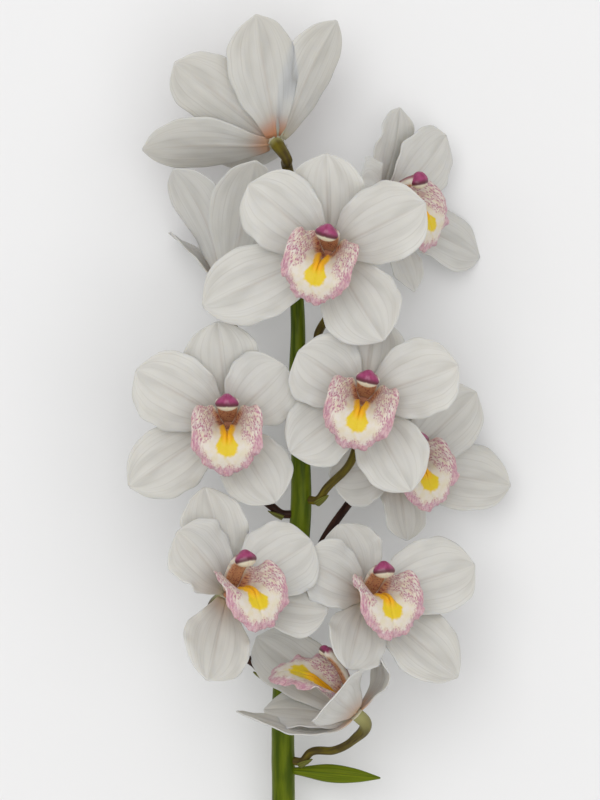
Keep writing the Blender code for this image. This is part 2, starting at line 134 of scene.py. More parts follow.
# The ten flowers from the top of the stem down. For each: centre, face (yaw, pitch, roll in degrees), open
# (how far its blades lean forward), the stalk's route from the stem, and its blades. A blade has either the
# place of its tip, (x, y) seen from above, or a turn (clockwise from the dorsal direction) and a length, and
# wide scales its width. A flower may have its own column length, and its own length of straight ovary. The top
# flower's stalk goes on from the end of the stem.
FLOWERS = [
    dict(
        at=(-12.1, 130.1, 50.0), face=(-154, 36, 120), open=20, crowns_stem=True,
        stalk=[(-5.2, 113.6, 53.9), (-6.8, 119.0, 53.6)],
        dorsal=dict(tip=(-80, 127)),
        sepal_left=dict(tip=(-22, 193), wide=1.15, cup=[(0, 0), (0.15, 0), (0.3, 12), (0.7, 14), (1, 10)]),
        sepal_right=dict(turn=215, length=66),
        petal_left=dict(tip=(-63, 170)),
        petal_right=dict(turn=62, length=44, open=34),
    ),
    dict(
        at=(-35.5, 58.9, 47.3), face=(168, 68, -19), open=46,
        stalk=[(-1.6, 6.0, 54.9), (-15.0, 11.0, 52.0), (-26.0, 26.0, 47.0)],
        dorsal=dict(tip=(-22, 120), wide=1.1),
        sepal_left=dict(turn=-140, length=54),
        sepal_right=dict(turn=140, length=54),
        petal_left=dict(turn=-80, length=44, open=48, lift=2.6),
        petal_right=dict(tip=(-64, 117), open=48, lift=2.6),
        lip=dict(wide=0.62, rise=[(0, 80), (0.3, 84), (0.5, 66), (0.65, 40), (0.82, 10), (1, -10)]),
    ),
    dict(
        at=(14.3, 73.4, 104.0), face=(-8, -3, 16), open=0,
        stalk=[(0.0, 26.0, 56.0), (9.0, 33.0, 59.0), (15.0, 44.0, 68.0), (16.0, 62.0, 82.0)],
        dorsal=dict(tip=(13, 121), wide=1.18),
        sepal_left=dict(tip=(-48, 46), wide=1.2),
        sepal_right=dict(tip=(41, 29), wide=1.25),
        petal_left=dict(tip=(-25, 106), wide=1.1),
        petal_right=dict(tip=(61, 96), wide=1.1),
    ),
    dict(
        at=(40.3, 97.6, 39.7), face=(55, 8, -12), open=10,
        stalk=[(-2.5, 62.0, 55.6), (6.0, 65.0, 51.0), (20.0, 82.0, 36.0)],
        dorsal=dict(tip=(51, 149), wide=1.04),
        sepal_left=dict(tip=(58, 55), wide=0.85),
        sepal_right=dict(tip=(93, 74)),
        petal_left=dict(turn=-68, length=46),
        petal_right=dict(tip=(75, 136)),
    ),
    dict(
        at=(-35.9, -11.0, 82.0), face=(0, 0, 0), open=0,
        stalk=[(0.5, -58.0, 49.6), (-14.0, -54.0, 51.0), (-27.0, -42.0, 55.0), (-35.0, -22.0, 64.0)],
        dorsal=dict(tip=(-41, 39), wide=1.2),
        sepal_left=dict(tip=(-85, -43), wide=1.1),
        sepal_right=dict(tip=(-12, -51), wide=1.1),
        petal_left=dict(tip=(-81, 15), wide=1.1),
        petal_right=dict(tip=(-7, 17), wide=1.1),
    ),
    dict(
        at=(31.7, 1.0, 92.0), face=(-2, 0, 14), open=0,
        stalk=[(0.4, -50.0, 50.3), (13.0, -45.0, 58.0), (25.0, -32.0, 69.0)],
        dorsal=dict(tip=(36, 41), wide=1.1),
        sepal_left=dict(tip=(-5, -26), wide=1.1),
        sepal_right=dict(tip=(55, -45), wide=1.1),
        petal_left=dict(tip=(-1, 24), wide=1.1),
        petal_right=dict(tip=(78, 17), wide=1.1),
    ),
    dict(
        at=(48.5, -33.3, 38.0), face=(30, 8, -12), open=8,
        stalk=[(-3.2, -97.0, 44.7), (9.0, -78.0, 42.0), (24.0, -54.0, 34.0)],
        dorsal=dict(turn=0, length=50),
        sepal_left=dict(tip=(54, -70), wide=0.8, open=0),
        sepal_right=dict(tip=(108, -44), wide=1.1),
        petal_left=dict(turn=-85, length=38, open=-24),
        petal_right=dict(tip=(90, 4)),
    ),
    dict(
        at=(-35.9, -95.7, 106.0), face=(28, 20, -8), open=0,
        stalk=[(-7.9, -140.0, 37.4), (-23.0, -134.0, 45.0), (-39.0, -124.0, 60.0)],
        dorsal=dict(tip=(-47, -43), wide=1.1),
        sepal_left=dict(tip=(-45, -136), wide=1.1),
        sepal_right=dict(tip=(14, -104), wide=1.1),
        petal_left=dict(tip=(-60, -64), wide=1.1),
        petal_right=dict(tip=(6, -70), wide=1.1),
    ),
    dict(
        at=(33.1, -99.2, 70.0), face=(24, 15, -2), open=0, column=24,
        stalk=[(-8.3, -157.0, 34.4), (4.0, -150.0, 33.0), (16.0, -132.0, 38.0)],
        dorsal=dict(tip=(20, -64), wide=1.1),
        sepal_left=dict(turn=-150, length=42, open=13),
        sepal_right=dict(tip=(79, -139), wide=1.1),
        petal_left=dict(turn=-63, length=40),
        petal_right=dict(tip=(88, -83), wide=1.1),
    ),
    dict(
        at=(28.5, -157.5, 72.5), face=(-69, 41, 10), open=35, column=36, straight=5,
        stalk=[(-8.5, -184.0, 27.8), (5.0, -180.0, 34.0), (17.0, -178.0, 43.0), (27.0, -171.5, 56.0)],
        dorsal=dict(turn=0, length=44, wide=0.92, rise=[(0, 0), (0.3, 5), (0.5, 45), (0.75, 75), (1, 90)]),
        sepal_left=dict(turn=-140, length=46, open=45),
        sepal_right=dict(turn=185, length=62, wide=0.75, rise=[(0, 8), (0.15, 25), (0.4, 55), (1, 70)]),
        petal_left=dict(turn=-85, tip=(-24, -119), open=45, wide=0.9),
        petal_right=dict(turn=92, length=43, open=30),
        lip=dict(
            turn=208, length=50, wide=0.85, lift=4.3,
            rise=[(0, 84), (0.3, 92), (0.5, 88), (0.65, 66), (0.82, 30), (1, 4)],
            width=[(0, 2.2), (0.1, 4.4), (0.25, 14.5), (0.4, 21.0), (0.64, 17.5), (0.8, 13.0), (0.92, 8.5),
                   (1, 0.8)],
            cup=[(0, 20), (0.1, 70), (0.25, 125), (0.4, 118), (0.66, 30), (0.85, -10), (1, -20)],
        ),
    ),
]

# Cells of a fine blade and of a fine lip, along and across, and points along a stalk
BLADE_CELLS = (44, 30)
LIP_CELLS = (84, 96)
STALK_POINTS = 60

# Sepals and petals: height of the waves at the edge, of the soft folds and of the roll back at the edge, and
# depth of the midrib's keel, in mm. DRAWN_IN is the largest share of its width by which a blade is drawn in.
WAVE = 1.8
FOLD = 0.30
ROLL = 0.8
KEEL = 0.75
DRAWN_IN = 0.08

# The share of the waves, folds and roll that the closely packed blades of some flowers have
STEADY = {1: 0.1, 2: 0.4, 10: 0.6}

# Lip: height of the ruffles at its rim and of its two ridges, depth of the groove in the middle lobe, and how
# far in from the edge its pink rim reaches, in mm
LIP_RUFFLE = 1.0
LIP_RIDGE = 2.4
LIP_GROOVE = 0.35
RIM_WIDE = 8.0

# The cap's half sizes across the column, through it and along it in mm, and the flowers with smaller caps
CAP_SIZE = (6.0, 4.4, 3.8)
SMALL_CAPS = {2: 0.9, 10: 0.62}

# Millimetres of length to one unit of a piece's own places: sepals and petals, and lips, columns and tubes
BLADE_PLACES = 50
OTHER_PLACES = 10

# Blades that are flushed with peach at the base, and the flowers with nearly black stalks
PEACH_OF = {
    (1, "dorsal"): 0.6, (1, "sepal_left"): 0.9, (1, "petal_left"): 0.35, (8, "sepal_left"): 0.2,
    (9, "petal_left"): 0.25, (10, "sepal_right"): 0.4, (10, "petal_right"): 0.35, (10, "dorsal"): 0.5,
}
DARK_STALKS = (5, 7, 8)

# Colours, linear
SEPAL_WHITE = (0.565, 0.56, 0.535)
SEPAL_SHADE = (0.48, 0.475, 0.45)
PETAL_WHITE = (0.58, 0.575, 0.55)
PETAL_SHADE = (0.50, 0.495, 0.47)
# Painted shade on the sepals and petals toward each flower's centre, where the blades meet
CENTRE_SHADE = (0.37, 0.325, 0.27)
VEIN = (0.34, 0.32, 0.29)
RIB = (0.40, 0.35, 0.31)
EDGE = (0.56, 0.56, 0.55)
BASE = (0.46, 0.42, 0.26)
PEACH = (0.50, 0.19, 0.09)
LIP_WHITE = (0.66, 0.61, 0.56)
LIP_CREAM = (0.64, 0.58, 0.44)
LIP_BACK = (0.60, 0.54, 0.49)
YELLOW = (0.68, 0.50, 0.01)
ORANGE = (0.76, 0.38, 0.002)
SPECKLE = (0.40, 0.15, 0.23)
RIM = (0.54, 0.29, 0.37)
RIM_DEEP = (0.42, 0.17, 0.26)
# Tan of the lip's throat and the column's underside: partly their own colour, partly painted shade of the deep
# throat
TAN_AND_SHADE = (0.55, 0.29, 0.15)
MAROON = (0.30, 0.08, 0.06)
MAROON_DARK = (0.09, 0.006, 0.02)
CRIMSON = (0.22, 0.012, 0.05)
MAGENTA = (0.26, 0.022, 0.10)
MAGENTA_LIGHT = (0.34, 0.045, 0.15)
STEM_LIGHT = (0.115, 0.15, 0.004)
STEM_DARK = (0.045, 0.072, 0.002)
BRACT_LIGHT = (0.15, 0.185, 0.006)
BRACT_DARK = (0.08, 0.115, 0.004)
SCALE_LIGHT = (0.16, 0.17, 0.03)
SCALE_DARK = (0.07, 0.06, 0.015)
OLIVE_LIGHT = (0.15, 0.12, 0.010)
OLIVE_DARK = (0.06, 0.04, 0.014)
STALK_MAROON = (0.05, 0.02, 0.012)
STALK_BLACK = (0.018, 0.007, 0.006)
OVARY_TOP = (0.34, 0.33, 0.14)
CUT_PALE = (0.55, 0.60, 0.30)
CUT_DARK = (0.24, 0.30, 0.08)
FLOOR_PALE = (0.82, 0.82, 0.825)
FLOOR_DEEP = (0.805, 0.805, 0.81)

# Camera: straight above the flowers. Focal length, sensor width and height over a plane through them in mm.
LENS = 180
SENSOR = 36
VIEW = 2000.0
PLANE = 75.0

# Strength of the even light from all sides. Lamps: name, place and size in metres, power in watts, and the
# place they all point at.
SKY = 0.66
LIGHTS = [
    ("Key", (-0.5, 0.7, 2.8), 2.2, 30),
    ("Fill", (0.9, -0.5, 2.6), 2.2, 14),
]
LIT_PLACE = (0, 0.05, 0.06)

# Half the floor's side in metres
FLOOR_HALF = 4

# Metres in a millimetre, and steps in which the middle line of a blade or column is summed up
MM = 0.001
STEPS = 80


def smooth_curve(stations, at):
    """A smooth curve through (place, value) stations, read at the places in at."""
    x = np.array([s[0] for s in stations], float)
    y = np.array([s[1] for s in stations], float)
    at = np.clip(np.asarray(at, float), x[0], x[-1])
    slope = np.gradient(y, x) if len(x) > 2 else np.full(len(x), (y[-1] - y[0]) / (x[-1] - x[0]))
    i = np.clip(np.searchsorted(x, at, side="right") - 1, 0, len(x) - 2)
    h = x[i + 1] - x[i]
    t = (at - x[i]) / h
    return (
        (2 * t**3 - 3 * t**2 + 1) * y[i]
        + (t**3 - 2 * t**2 + t) * h * slope[i]
        + (3 * t**2 - 2 * t**3) * y[i + 1]
        + (t**3 - t**2) * h * slope[i + 1]
    )


def unit(vectors):
    vectors = np.asarray(vectors, float)
    return vectors / np.linalg.norm(vectors, axis=-1, keepdims=True)


def square_to(direction, vector):
    """The direction square to another that is nearest to a vector."""
    return unit(vector - direction * (direction @ vector))


def flower_axes(yaw, pitch, roll):
    """Right, dorsal and facing directions of a flower, as columns."""
    yaw, pitch, roll = (math.radians(angle) for angle in (yaw, pitch, roll))
    facing = np.array([math.sin(yaw) * math.cos(pitch), math.sin(pitch), math.cos(yaw) * math.cos(pitch)])
    upright = square_to(facing, np.array([0.0, 1.0, 0.0]))
    sideways = np.cross(upright, facing)
    dorsal = math.cos(roll) * upright + math.sin(roll) * sideways
    right = math.cos(roll) * sideways - math.sin(roll) * upright
    return np.array([right, dorsal, facing]).T


def midrib(shape):
    """Points of a blade's midrib at even steps, with the directions across it and out of its face."""
    place = np.linspace(0, 1, STEPS + 1)
    rise = np.radians(smooth_curve(shape["rise"], place))
    turn = math.radians(shape["turn"])
    outward = np.array([math.sin(turn), math.cos(turn), 0.0])
    across = np.array([math.cos(turn), -math.sin(turn), 0.0])
    facing = np.array([0.0, 0.0, 1.0])
    along = np.cos(rise)[:, None] * outward + np.sin(rise)[:, None] * facing
    steps = (along[1:] + along[:-1]) / 2 * shape["length"] / STEPS
    line = np.vstack([np.zeros(3), np.cumsum(steps, 0)]) + shape["hub"] * outward + shape["lift"] * facing
    return place, line, across, np.cross(across, along)


def half_width(shape, u):
    return smooth_curve(shape["width"], u) * shape.get("wide", 1.0)


def section(u, v, shape):
    """Sideways and face-ward offsets of the places (u, v) of a blade from its midrib."""
    cuts = 16
    reach = np.abs(v)
    half = half_width(shape, u)
    cup = smooth_curve(shape["cup"], u)
    flare = smooth_curve(shape.get("flare", [(0, 0), (1, 0)]), u)
    sideways, up = np.zeros_like(half), np.zeros_like(half)
    for cut in range(cuts):
        part = (cut + 0.5) / cuts * reach
        angle = np.radians(cup * part - flare * np.clip(part - 0.45, 0, 1) / 0.55)
        sideways = sideways + np.cos(angle) * half * reach / cuts
        up = up + np.sin(angle) * half * reach / cuts
    if "ruffle" in shape:
        height, waves, phase = shape["ruffle"]
        rim = reach**4 * np.sqrt(np.sin(math.pi * np.clip(u * 1.15, 0, 1)))
        up = up + height * rim * np.sin(2 * math.pi * (waves * u + phase))
    return sideways * np.sign(v), up


def blade_points(u, v, shape):
    """Points of a blade in its flower's frame. u runs from base to tip and v across it, from -1 to 1."""
    place, line, across, front = midrib(shape)
    sideways, up = section(u, v, shape)

    def at(table):
        return np.stack([np.interp(u, place, table[:, axis]) for axis in range(3)], -1)

    return at(line) + sideways[..., None] * across + up[..., None] * at(front)


def aim(shape, tip, frame, centre):
    """The shape with the turn and length that bring its tip over the point tip, seen from above."""
    shape = dict(shape)

    def miss(turn, length):
        end = blade_points(np.array([1.0]), np.array([0.0]), dict(shape, turn=turn, length=length))[0]
        return (frame @ end + centre)[:2] - np.array(tip)

    turn, length = float(shape["turn"]), float(shape["length"])
    for _ in range(30):
        off = miss(turn, length)
        slope = np.array([miss(turn + 0.5, length) - off, miss(turn, length + 0.5) - off]).T / 0.5
        step = np.linalg.lstsq(slope, -off, rcond=None)[0]
        turn += float(np.clip(step[0], -12, 12))
        length = float(np.clip(length + np.clip(step[1], -5, 5), 36, 68))
    shape.update(turn=turn, length=length)
    return shape


def lean_share(place):
    """The share of its flower's lean that a blade has: none at its base, most near it, less at its tip."""
    return min(place / 0.15, 1) * (1 - 0.4 * place)


def blade_shape(flower, name, frame):
    """The full shape of one blade of a flower."""
    base = LIP if name == "lip" else SEPAL if name in SEPAL_NAMES else PETAL
    own = dict(flower.get(name, {}))
    tip = own.pop("tip", None)
    lean = own.pop("open", flower["open"])
    shape = dict(base, turn=BLADES.get(name, 180))
    if name != "lip":
        shape["rise"] = [(place, rise + lean * lean_share(place)) for place, rise in base["rise"]]
    shape.update(own)
    return aim(shape, tip, frame, np.array(flower["at"])) if tip else shape


def column_line(place, length):
    """Points of the column's middle line and its lean, in the flower's frame."""
    fine = np.linspace(0, 1, STEPS + 1)
    lean = np.radians(smooth_curve(COLUMN_LEAN, fine))
    steps = np.stack([np.zeros_like(fine), np.cos(lean), np.sin(lean)], -1) * length / STEPS
    line = np.vstack([np.zeros(3), np.cumsum((steps[1:] + steps[:-1]) / 2, 0)])
    line = line + np.array([0, *COLUMN_START])
    points = np.stack([np.interp(place, fine, line[:, axis]) for axis in range(3)], -1)
    return points, np.interp(place, fine, lean)


def route_curve(route, count):
    """Evenly spaced points on the smooth curve through a route."""
    route = np.array(route, float)
    run = np.concatenate([[0], np.cumsum(np.linalg.norm(np.diff(route, axis=0), axis=1))])
    at = np.linspace(0, run[-1], count)
    return np.stack([smooth_curve(list(zip(run, route[:, axis])), at) for axis in range(route.shape[1])], -1)


def stalk_line(flower, frame, count):
    """A flower stalk's points and radii, from the stem's surface to the back of the sepals."""
    centre = np.array(flower["at"])
    facing = frame[:, 2]
    start = np.array(flower["stalk"][0])
    stem = route_curve(STEM, 400)
    near = np.argmin(np.linalg.norm(stem[:, :3] - start, axis=1))
    first = [start - (np.array(flower["stalk"][1]) - start) * 0.2]
    if "crowns_stem" not in flower:
        upward = unit(stem[near + 1, :3] - stem[near - 1, :3])
        away = square_to(upward, np.array(flower["stalk"][1]) - start)
        side = start + away * (stem[near, 3] + 4 * GAP)
        first = [side - 2.5 * away, side + 3 * away]
    straight = flower.get("straight", OVARY_LENGTH)
    route = [*first, *flower["stalk"][1:], centre - facing * straight, centre + facing * 0.6]
    line = route_curve(route, count)
    back, radius = np.array(STALK_RADIUS).T
    return line, np.interp(np.linalg.norm(line - centre, axis=1), back, radius)


# Mesh building

def smoothstep(low, high, value):
    t = np.clip((value - low) / (high - low), 0, 1)
    return t * t * (3 - 2 * t)


def mesh_piece(name, points, faces, uv, masks, look, nodes, slot):
    """A shaded piece from points in millimetres in the stem's frame, which stands for the CAD nodes."""
    mesh = bpy.data.meshes.new(name)
    corners = [face[:3] if face[2] == face[3] else face for face in faces.tolist()]
    mesh.from_pydata(((points - ORIGIN) * MM).tolist(), [], corners)
    mesh.shade_smooth()
    corner = np.zeros(len(mesh.loops), int)
    mesh.loops.foreach_get("vertex_index", corner)
    mesh.uv_layers.new(name="UVMap").data.foreach_set("uv", uv[corner].astype(np.float32).ravel())
    for mask, values in masks.items():
        mesh.attributes.new(mask, "FLOAT", "POINT").data.foreach_set("value", values.astype(np.float32))
    mesh.materials.append(look)
    piece = bpy.data.objects.new(name, mesh)
    bpy.context.collection.objects.link(piece)
    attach(piece, "root")
    if nodes:
        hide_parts(*nodes)


def joined(parts):
    """One set of points, faces, places and masks from several."""
    points, faces, uv, count = [], [], [], 0
    names = sorted({mask for part in parts for mask in part[3]})
    masks = {mask: [] for mask in names}
    for part_points, part_faces, part_uv, part_masks in parts:
        points.append(part_points)
        faces.append(part_faces + count)
        uv.append(part_uv)
        count += len(part_points)
        for mask in names:
            masks[mask].append(part_masks.get(mask, np.zeros(len(part_points))))
    return (
        np.concatenate(points), np.concatenate(faces), np.concatenate(uv),
        {mask: np.concatenate(values) for mask, values in masks.items()},
    )


def grid_faces(rows, columns):
    i, j = np.meshgrid(np.arange(rows - 1), np.arange(columns - 1), indexing="ij")
    a = (i * columns + j).ravel()
    return np.stack([a, a + 1, a + columns + 1, a + columns], -1)


def ring_faces(index, turned=False):
    """Faces between closed rings of points, one ring to a row of index, or the same faces turned over."""
    wrap = np.roll(index, -1, axis=1)
    faces = np.stack([index[:-1], wrap[:-1], wrap[1:], index[1:]], -1).reshape(-1, 4)
    return faces[:, [0, 3, 2, 1]] if turned else faces


def globe_grid(rows, columns):
    """Tilt and turn of a globe's points, in rows from its lowest to its highest."""
    tilt = np.linspace(-math.pi / 2, math.pi / 2, rows)
    turn = np.linspace(0, 2 * math.pi, columns, endpoint=False)
    return np.meshgrid(tilt, turn, indexing="ij")


def out_of(grid):
    """Directions out of the face of a grid of points."""
    return unit(np.cross(np.gradient(grid, axis=1), np.gradient(grid, axis=0)) + 1e-12)


def sheet_part(middle, thickness, uv, masks):
    """A closed sheet round a grid of middle points, thinner where its thickness says so."""
    rows, columns = middle.shape[:2]
    offset = out_of(middle) * thickness[..., None] / 2
    points = np.concatenate([(middle + offset).reshape(-1, 3), (middle - offset).reshape(-1, 3)])
    count = rows * columns
    faces = grid_faces(rows, columns)
    index = np.arange(count).reshape(rows, columns)
    rim = np.concatenate([index[0, :-1], index[:-1, -1], index[-1, ::-1][:-1], index[::-1, 0][:-1]])
    after = np.roll(rim, -1)
    sides = np.stack([after, rim, rim + count, after + count], -1)
    faces = np.concatenate([faces, faces[:, ::-1] + count, sides])
    both = {mask: np.tile(values.ravel(), 2) for mask, values in masks.items()}
    return points, faces, np.tile(uv.reshape(-1, 2), (2, 1)), both


def tube_part(line, radii, sides, ridges, phase=0.0):
    """A closed tube along a line, with five soft lengthwise ridges and flat ends that have a narrow rim."""
    along = unit(np.gradient(line, axis=0))
    across = [unit(np.cross(along[0], [0.3, 0.2, 1.0]))]
    for step in along[1:]:
        across.append(square_to(step, across[-1]))
    across = np.array(across)
    other = np.cross(along, across)
    turn = np.linspace(0, 2 * math.pi, sides, endpoint=False)
    shape = 1 + ridges * np.cos(5 * turn + phase)
    radius = radii[:, None] * shape
    points = (
        line[:, None]
        + (radius * np.cos(turn))[..., None] * across[:, None]
        + (radius * np.sin(turn))[..., None] * other[:, None]
    )
    rows = len(line)
    index = np.arange(rows * sides).reshape(rows, sides)
    faces = [ring_faces(index)]
    run = np.concatenate([[0], np.cumsum(np.linalg.norm(np.diff(line, axis=0), axis=1))])
    lengthwise = run / OTHER_PLACES
    uv = np.stack([np.tile(turn / (2 * math.pi), (rows, 1)), np.tile(lengthwise[:, None], (1, sides))], -1)
    points, uv = points.reshape(-1, 3), uv.reshape(-1, 2)
    masks = dict(run=np.repeat(run / run[-1], sides), cut=np.zeros(rows * sides))
    for row, step in ((0, 1), (rows - 1, -1)):
        ring = index[row]
        inner = len(points) + np.arange(sides)
        middle = np.full(sides, len(points) + sides)
        points = np.concatenate([points, line[row] + (points[ring] - line[row]) * 0.93, line[row][None]])
        uv = np.concatenate([uv, uv[ring], [[0.5, lengthwise[row]]]])
        masks = dict(
            run=np.append(masks["run"], np.full(sides + 1, run[row] / run[-1])),
            cut=np.append(masks["cut"], np.ones(sides + 1)),
        )
        ring, inner = ring[::step], inner[::step]
        faces.append(np.stack([np.roll(ring, -1), ring, inner, np.roll(inner, -1)], -1))
        faces.append(np.stack([np.roll(inner, -1), inner, middle, middle], -1))
    return points, np.concatenate(faces), uv, masks


# Materials

class Look:
    """A material and short ways to wire its nodes."""

    def __init__(self, name, **settings):
        self.material = bpy.data.materials.new(name)
        self.material.use_nodes = True
        self.tree = self.material.node_tree
        self.shader = self.tree.nodes["Principled BSDF"]
        for socket, value in settings.items():
            self.shader.inputs[socket.replace("_", " ")].default_value = value

    def node(self, kind, inputs=(), **settings):
        made = self.tree.nodes.new("ShaderNode" + kind)
        for setting, value in settings.items():
            setattr(made, setting, value)
        for socket, value in dict(inputs).items():
            self.feed(made.inputs[socket], value)
        return made

    def feed(self, socket, value):
        if isinstance(value, bpy.types.NodeSocket):
            self.tree.links.new(value, socket)
        elif value is not None:
            socket.default_value = value

    def mask(self, name):
        return self.node("Attribute", attribute_name=name).outputs["Fac"]

    def places(self, scale):
        """The piece's own places, stretched by a scale along each axis."""
        uv = self.node("UVMap", uv_map="UVMap").outputs["UV"]
        return self.node("Mapping", {"Vector": uv, "Scale": (*scale, 1)}).outputs["Vector"]

    def noise(self, scale, size, detail):
        inputs = {"Vector": self.places(scale), "Scale": size, "Detail": detail}
        return self.node("TexNoise", inputs).outputs["Fac"]

    def solid_noise(self, size, detail=3.0):
        inputs = {"Vector": self.node("TexCoord").outputs["Object"], "Scale": size, "Detail": detail}
        return self.node("TexNoise", inputs).outputs["Fac"]

    def cells(self, scale, size):
        inputs = {"Vector": self.places(scale), "Scale": size}
        return self.node("TexVoronoi", inputs).outputs["Distance"]

    def calc(self, operation, a, b, c=0.5):
        """The result of a Math node. Only MULTIPLY_ADD uses c."""
        return self.node("Math", {0: a, 1: b, 2: c}, operation=operation).outputs[0]

    def step(self, low, high, value, to=(0.0, 1.0)):
        """0 below low, 1 above high and smooth between."""
        inputs = {"Value": value, "From Min": low, "From Max": high, "To Min": to[0], "To Max": to[1]}
        return self.node("MapRange", inputs, interpolation_type="SMOOTHSTEP").outputs["Result"]

    def mix(self, factor, a, b):
        """Colour a where factor is 0 and colour b where it is 1, each a colour or another node's."""
        first, second = ((*value, 1) if isinstance(value, tuple) else value for value in (a, b))
        return self.node("Mix", {0: factor, 6: first, 7: second}, data_type="RGBA").outputs[2]

    def bump(self, height, distance, strength, after=None):
        """A normal from a height, with its distance in metres, on top of the normal after."""
        inputs = {"Height": height, "Distance": distance, "Strength": strength, "Normal": after}
        return self.node("Bump", inputs).outputs["Normal"]

    def finish(self, colour, normal, roughness=None):
        self.feed(self.shader.inputs["Base Color"], colour)
        self.feed(self.shader.inputs["Normal"], normal)
        self.feed(self.shader.inputs["Roughness"], roughness)
        return self.material


def tepal_look(name, white, shade):
    """Waxy, slightly translucent white with fine lengthwise veins, cream at the base, and painted shade toward
    the flower's centre.
    """
    look = Look(name, Subsurface_Weight=0.35, Subsurface_Radius=(1.0, 0.85, 0.6), Subsurface_Scale=0.0025,
                Specular_IOR_Level=0.35, Sheen_Weight=0.08, Sheen_Roughness=0.4)
    veins = look.noise((34, 0.55), 1.0, 4)
    soft = look.noise((5, 1.6), 1.0, 2)
    colour = look.mix(look.step(0.35, 0.75, soft), white, shade)
    colour = look.mix(look.step(0.50, 0.72, veins, (0, 0.30)), colour, VEIN)
    colour = look.mix(look.calc("MULTIPLY", look.mask("rib"), 0.35), colour, RIB)
    colour = look.mix(look.calc("MULTIPLY", look.mask("edge"), 0.5), colour, EDGE)
    # Painted shade, darker toward the flower's centre
    colour = look.mix(look.calc("MULTIPLY", look.mask("warm"), 0.7), colour, CENTRE_SHADE)
    colour = look.mix(look.mask("base"), colour, BASE)
    colour = look.mix(look.mask("peach"), colour, PEACH)
    fine = look.bump(veins, 0.00025, 0.5)
    normal = look.bump(look.solid_noise(900, 2), 0.00006, 0.4, fine)
    return look.finish(colour, normal, look.step(0.2, 0.8, soft, (0.42, 0.55)))


def lip_look():
    """Cream with a pink rim, pink speckles on the sides, a yellow patch, orange ridges and a tan throat,
    partly its own colour and partly painted shade.
    """
    look = Look("Lip", Subsurface_Weight=0.3, Subsurface_Radius=(1.0, 0.7, 0.5), Subsurface_Scale=0.002,
                Specular_IOR_Level=0.35, Sheen_Weight=0.1, Sheen_Roughness=0.4)
    rough = look.noise((1, 1), 3.2, 5)
    streaks = look.noise((3.2, 0.9), 4.0, 3)
    spots = look.cells((1, 0.8), 12.5)
    wobble = look.calc("MULTIPLY_ADD", rough, 0.9, -0.45)
    white = look.mix(look.step(0.3, 0.7, rough), LIP_WHITE, LIP_CREAM)
    colour = look.mix(look.calc("MULTIPLY", look.mask("back"), 0.6), white, LIP_BACK)
    yellow = look.step(0.25, 0.62, look.calc("ADD", look.mask("yellow"), wobble))
    colour = look.mix(yellow, colour, YELLOW)
    dots = look.step(0.52, 0.30, spots)
    zone = look.step(0.30, 0.70, look.calc("ADD", look.mask("speckle"), wobble))
    lines = look.step(0.44, 0.60, streaks)
    marks = look.calc("MAXIMUM", look.calc("MULTIPLY", dots, 0.9), look.calc("MULTIPLY", lines, 0.5))
    marks = look.calc("MULTIPLY", zone, marks)
    colour = look.mix(marks, colour, SPECKLE)
    rim = look.step(0.32, 0.60, look.calc("ADD", look.mask("rim"), wobble))
    pink = look.mix(look.step(0.35, 0.65, streaks), RIM, RIM_DEEP)
    colour = look.mix(look.calc("MULTIPLY", rim, 0.62), colour, pink)
    # The throat: tan with maroon spots, partly its own colour and partly painted shade
    colour = look.mix(look.mask("throat"), colour, look.mix(look.step(0.48, 0.60, streaks), TAN_AND_SHADE, MAROON))
    colour = look.mix(look.mask("keel"), colour, ORANGE)
    fine = look.bump(streaks, 0.0003, 0.5)
    normal = look.bump(look.solid_noise(1100, 2), 0.00006, 0.4, fine)
    return look.finish(colour, normal, look.step(0.2, 0.8, rough, (0.4, 0.52)))


def column_look():
    """Cream sides, tan and speckled underneath, the tan partly its own colour and partly painted shade,
    crimson along the back and magenta at the top.
    """
    look = Look("Column", Subsurface_Weight=0.25, Subsurface_Radius=(1.0, 0.5, 0.4), Subsurface_Scale=0.0015,
                Specular_IOR_Level=0.45)
    rough = look.noise((1, 1), 4.0, 4)
    spots = look.cells((1, 1), 11)
    colour = look.mix(look.step(0.3, 0.7, rough), LIP_CREAM, LIP_WHITE)
    # The underside: tan with maroon spots, partly its own colour and partly painted shade
    tan = look.mix(look.step(0.45, 0.25, spots), TAN_AND_SHADE, MAROON)
    colour = look.mix(look.mask("under"), colour, tan)
    colour = look.mix(look.mask("ridge"), colour, CRIMSON)
    colour = look.mix(look.mask("flush"), colour, MAGENTA)
    return look.finish(colour, look.bump(rough, 0.0003, 0.4), look.step(0.2, 0.8, rough, (0.32, 0.45)))


def cap_look():
    """The magenta cap, darker at its rim."""
    look = Look("Anther cap", Subsurface_Weight=0.15, Subsurface_Radius=(1.0, 0.3, 0.4),
                Subsurface_Scale=0.001, Specular_IOR_Level=0.5, Coat_Weight=0.15, Coat_Roughness=0.25)
    rough = look.solid_noise(420, 3)
    colour = look.mix(look.step(0.3, 0.7, rough), MAGENTA, MAGENTA_LIGHT)
    colour = look.mix(look.mask("rim"), colour, MAROON_DARK)
    colour = look.mix(look.mask("band"), colour, LIP_CREAM)
    return look.finish(colour, look.bump(rough, 0.0002, 0.4), look.step(0.2, 0.8, rough, (0.28, 0.4)))


